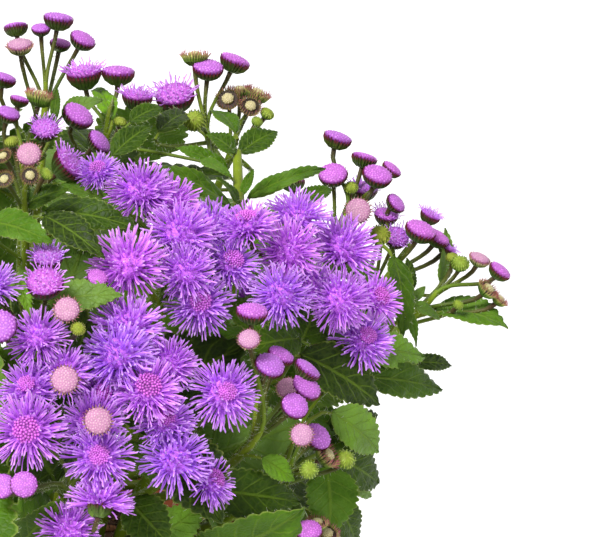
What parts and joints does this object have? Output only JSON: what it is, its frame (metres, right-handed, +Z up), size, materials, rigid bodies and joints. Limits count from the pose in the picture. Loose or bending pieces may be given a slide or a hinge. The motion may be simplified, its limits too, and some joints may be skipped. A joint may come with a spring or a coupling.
{
  "type": "ageratum in a pot",
  "caption": "Bushy ageratum in a plain round pot: toothed leaves, violet thread-like flower heads in bunches and sprays of lilac buds. Stands on its flat base.",
  "frame": {"origin": "centre of the flat underside of the pot, on the surface that it stands on", "axes": "+Z up along the pot's axis; the front, from which the shown side is seen, looks along +Y; +X to the right"},
  "size_m": [0.2078, 0.2004, 0.2067],
  "materials": {
    "pot": "matt terracotta-coloured plastic with a faint mould texture",
    "soil": "damp dark potting mix of peat, bark crumbs and pale grains",
    "foliage": "soft hairy green leaves and stems, lilac bud tops and maroon bract tips",
    "florets": "fine violet threads round a magenta middle"
  },
  "bodies": {
    "root": {"pot": "pot", "soil": "soil", "shoot_crest": "foliage", "shoot_brow": "foliage", "shoot_mast": "foliage", "shoot_mass": "foliage", "shoot_shoulder": "foliage", "shoot_flank": "foliage", "shoot_left": "foliage", "shoot_heart": "foliage", "shoot_skirt": "foliage", "shoot_thigh": "foliage", "shoot_hip": "foliage", "shoot_sector_1": "foliage", "shoot_sector_2": "foliage", "shoot_sector_3": "foliage", "shoot_sector_4": "foliage", "shoot_sector_5": "foliage", "shoot_sector_6": "foliage", "open_heads_1": "florets"}
  },
  "joints": []
}
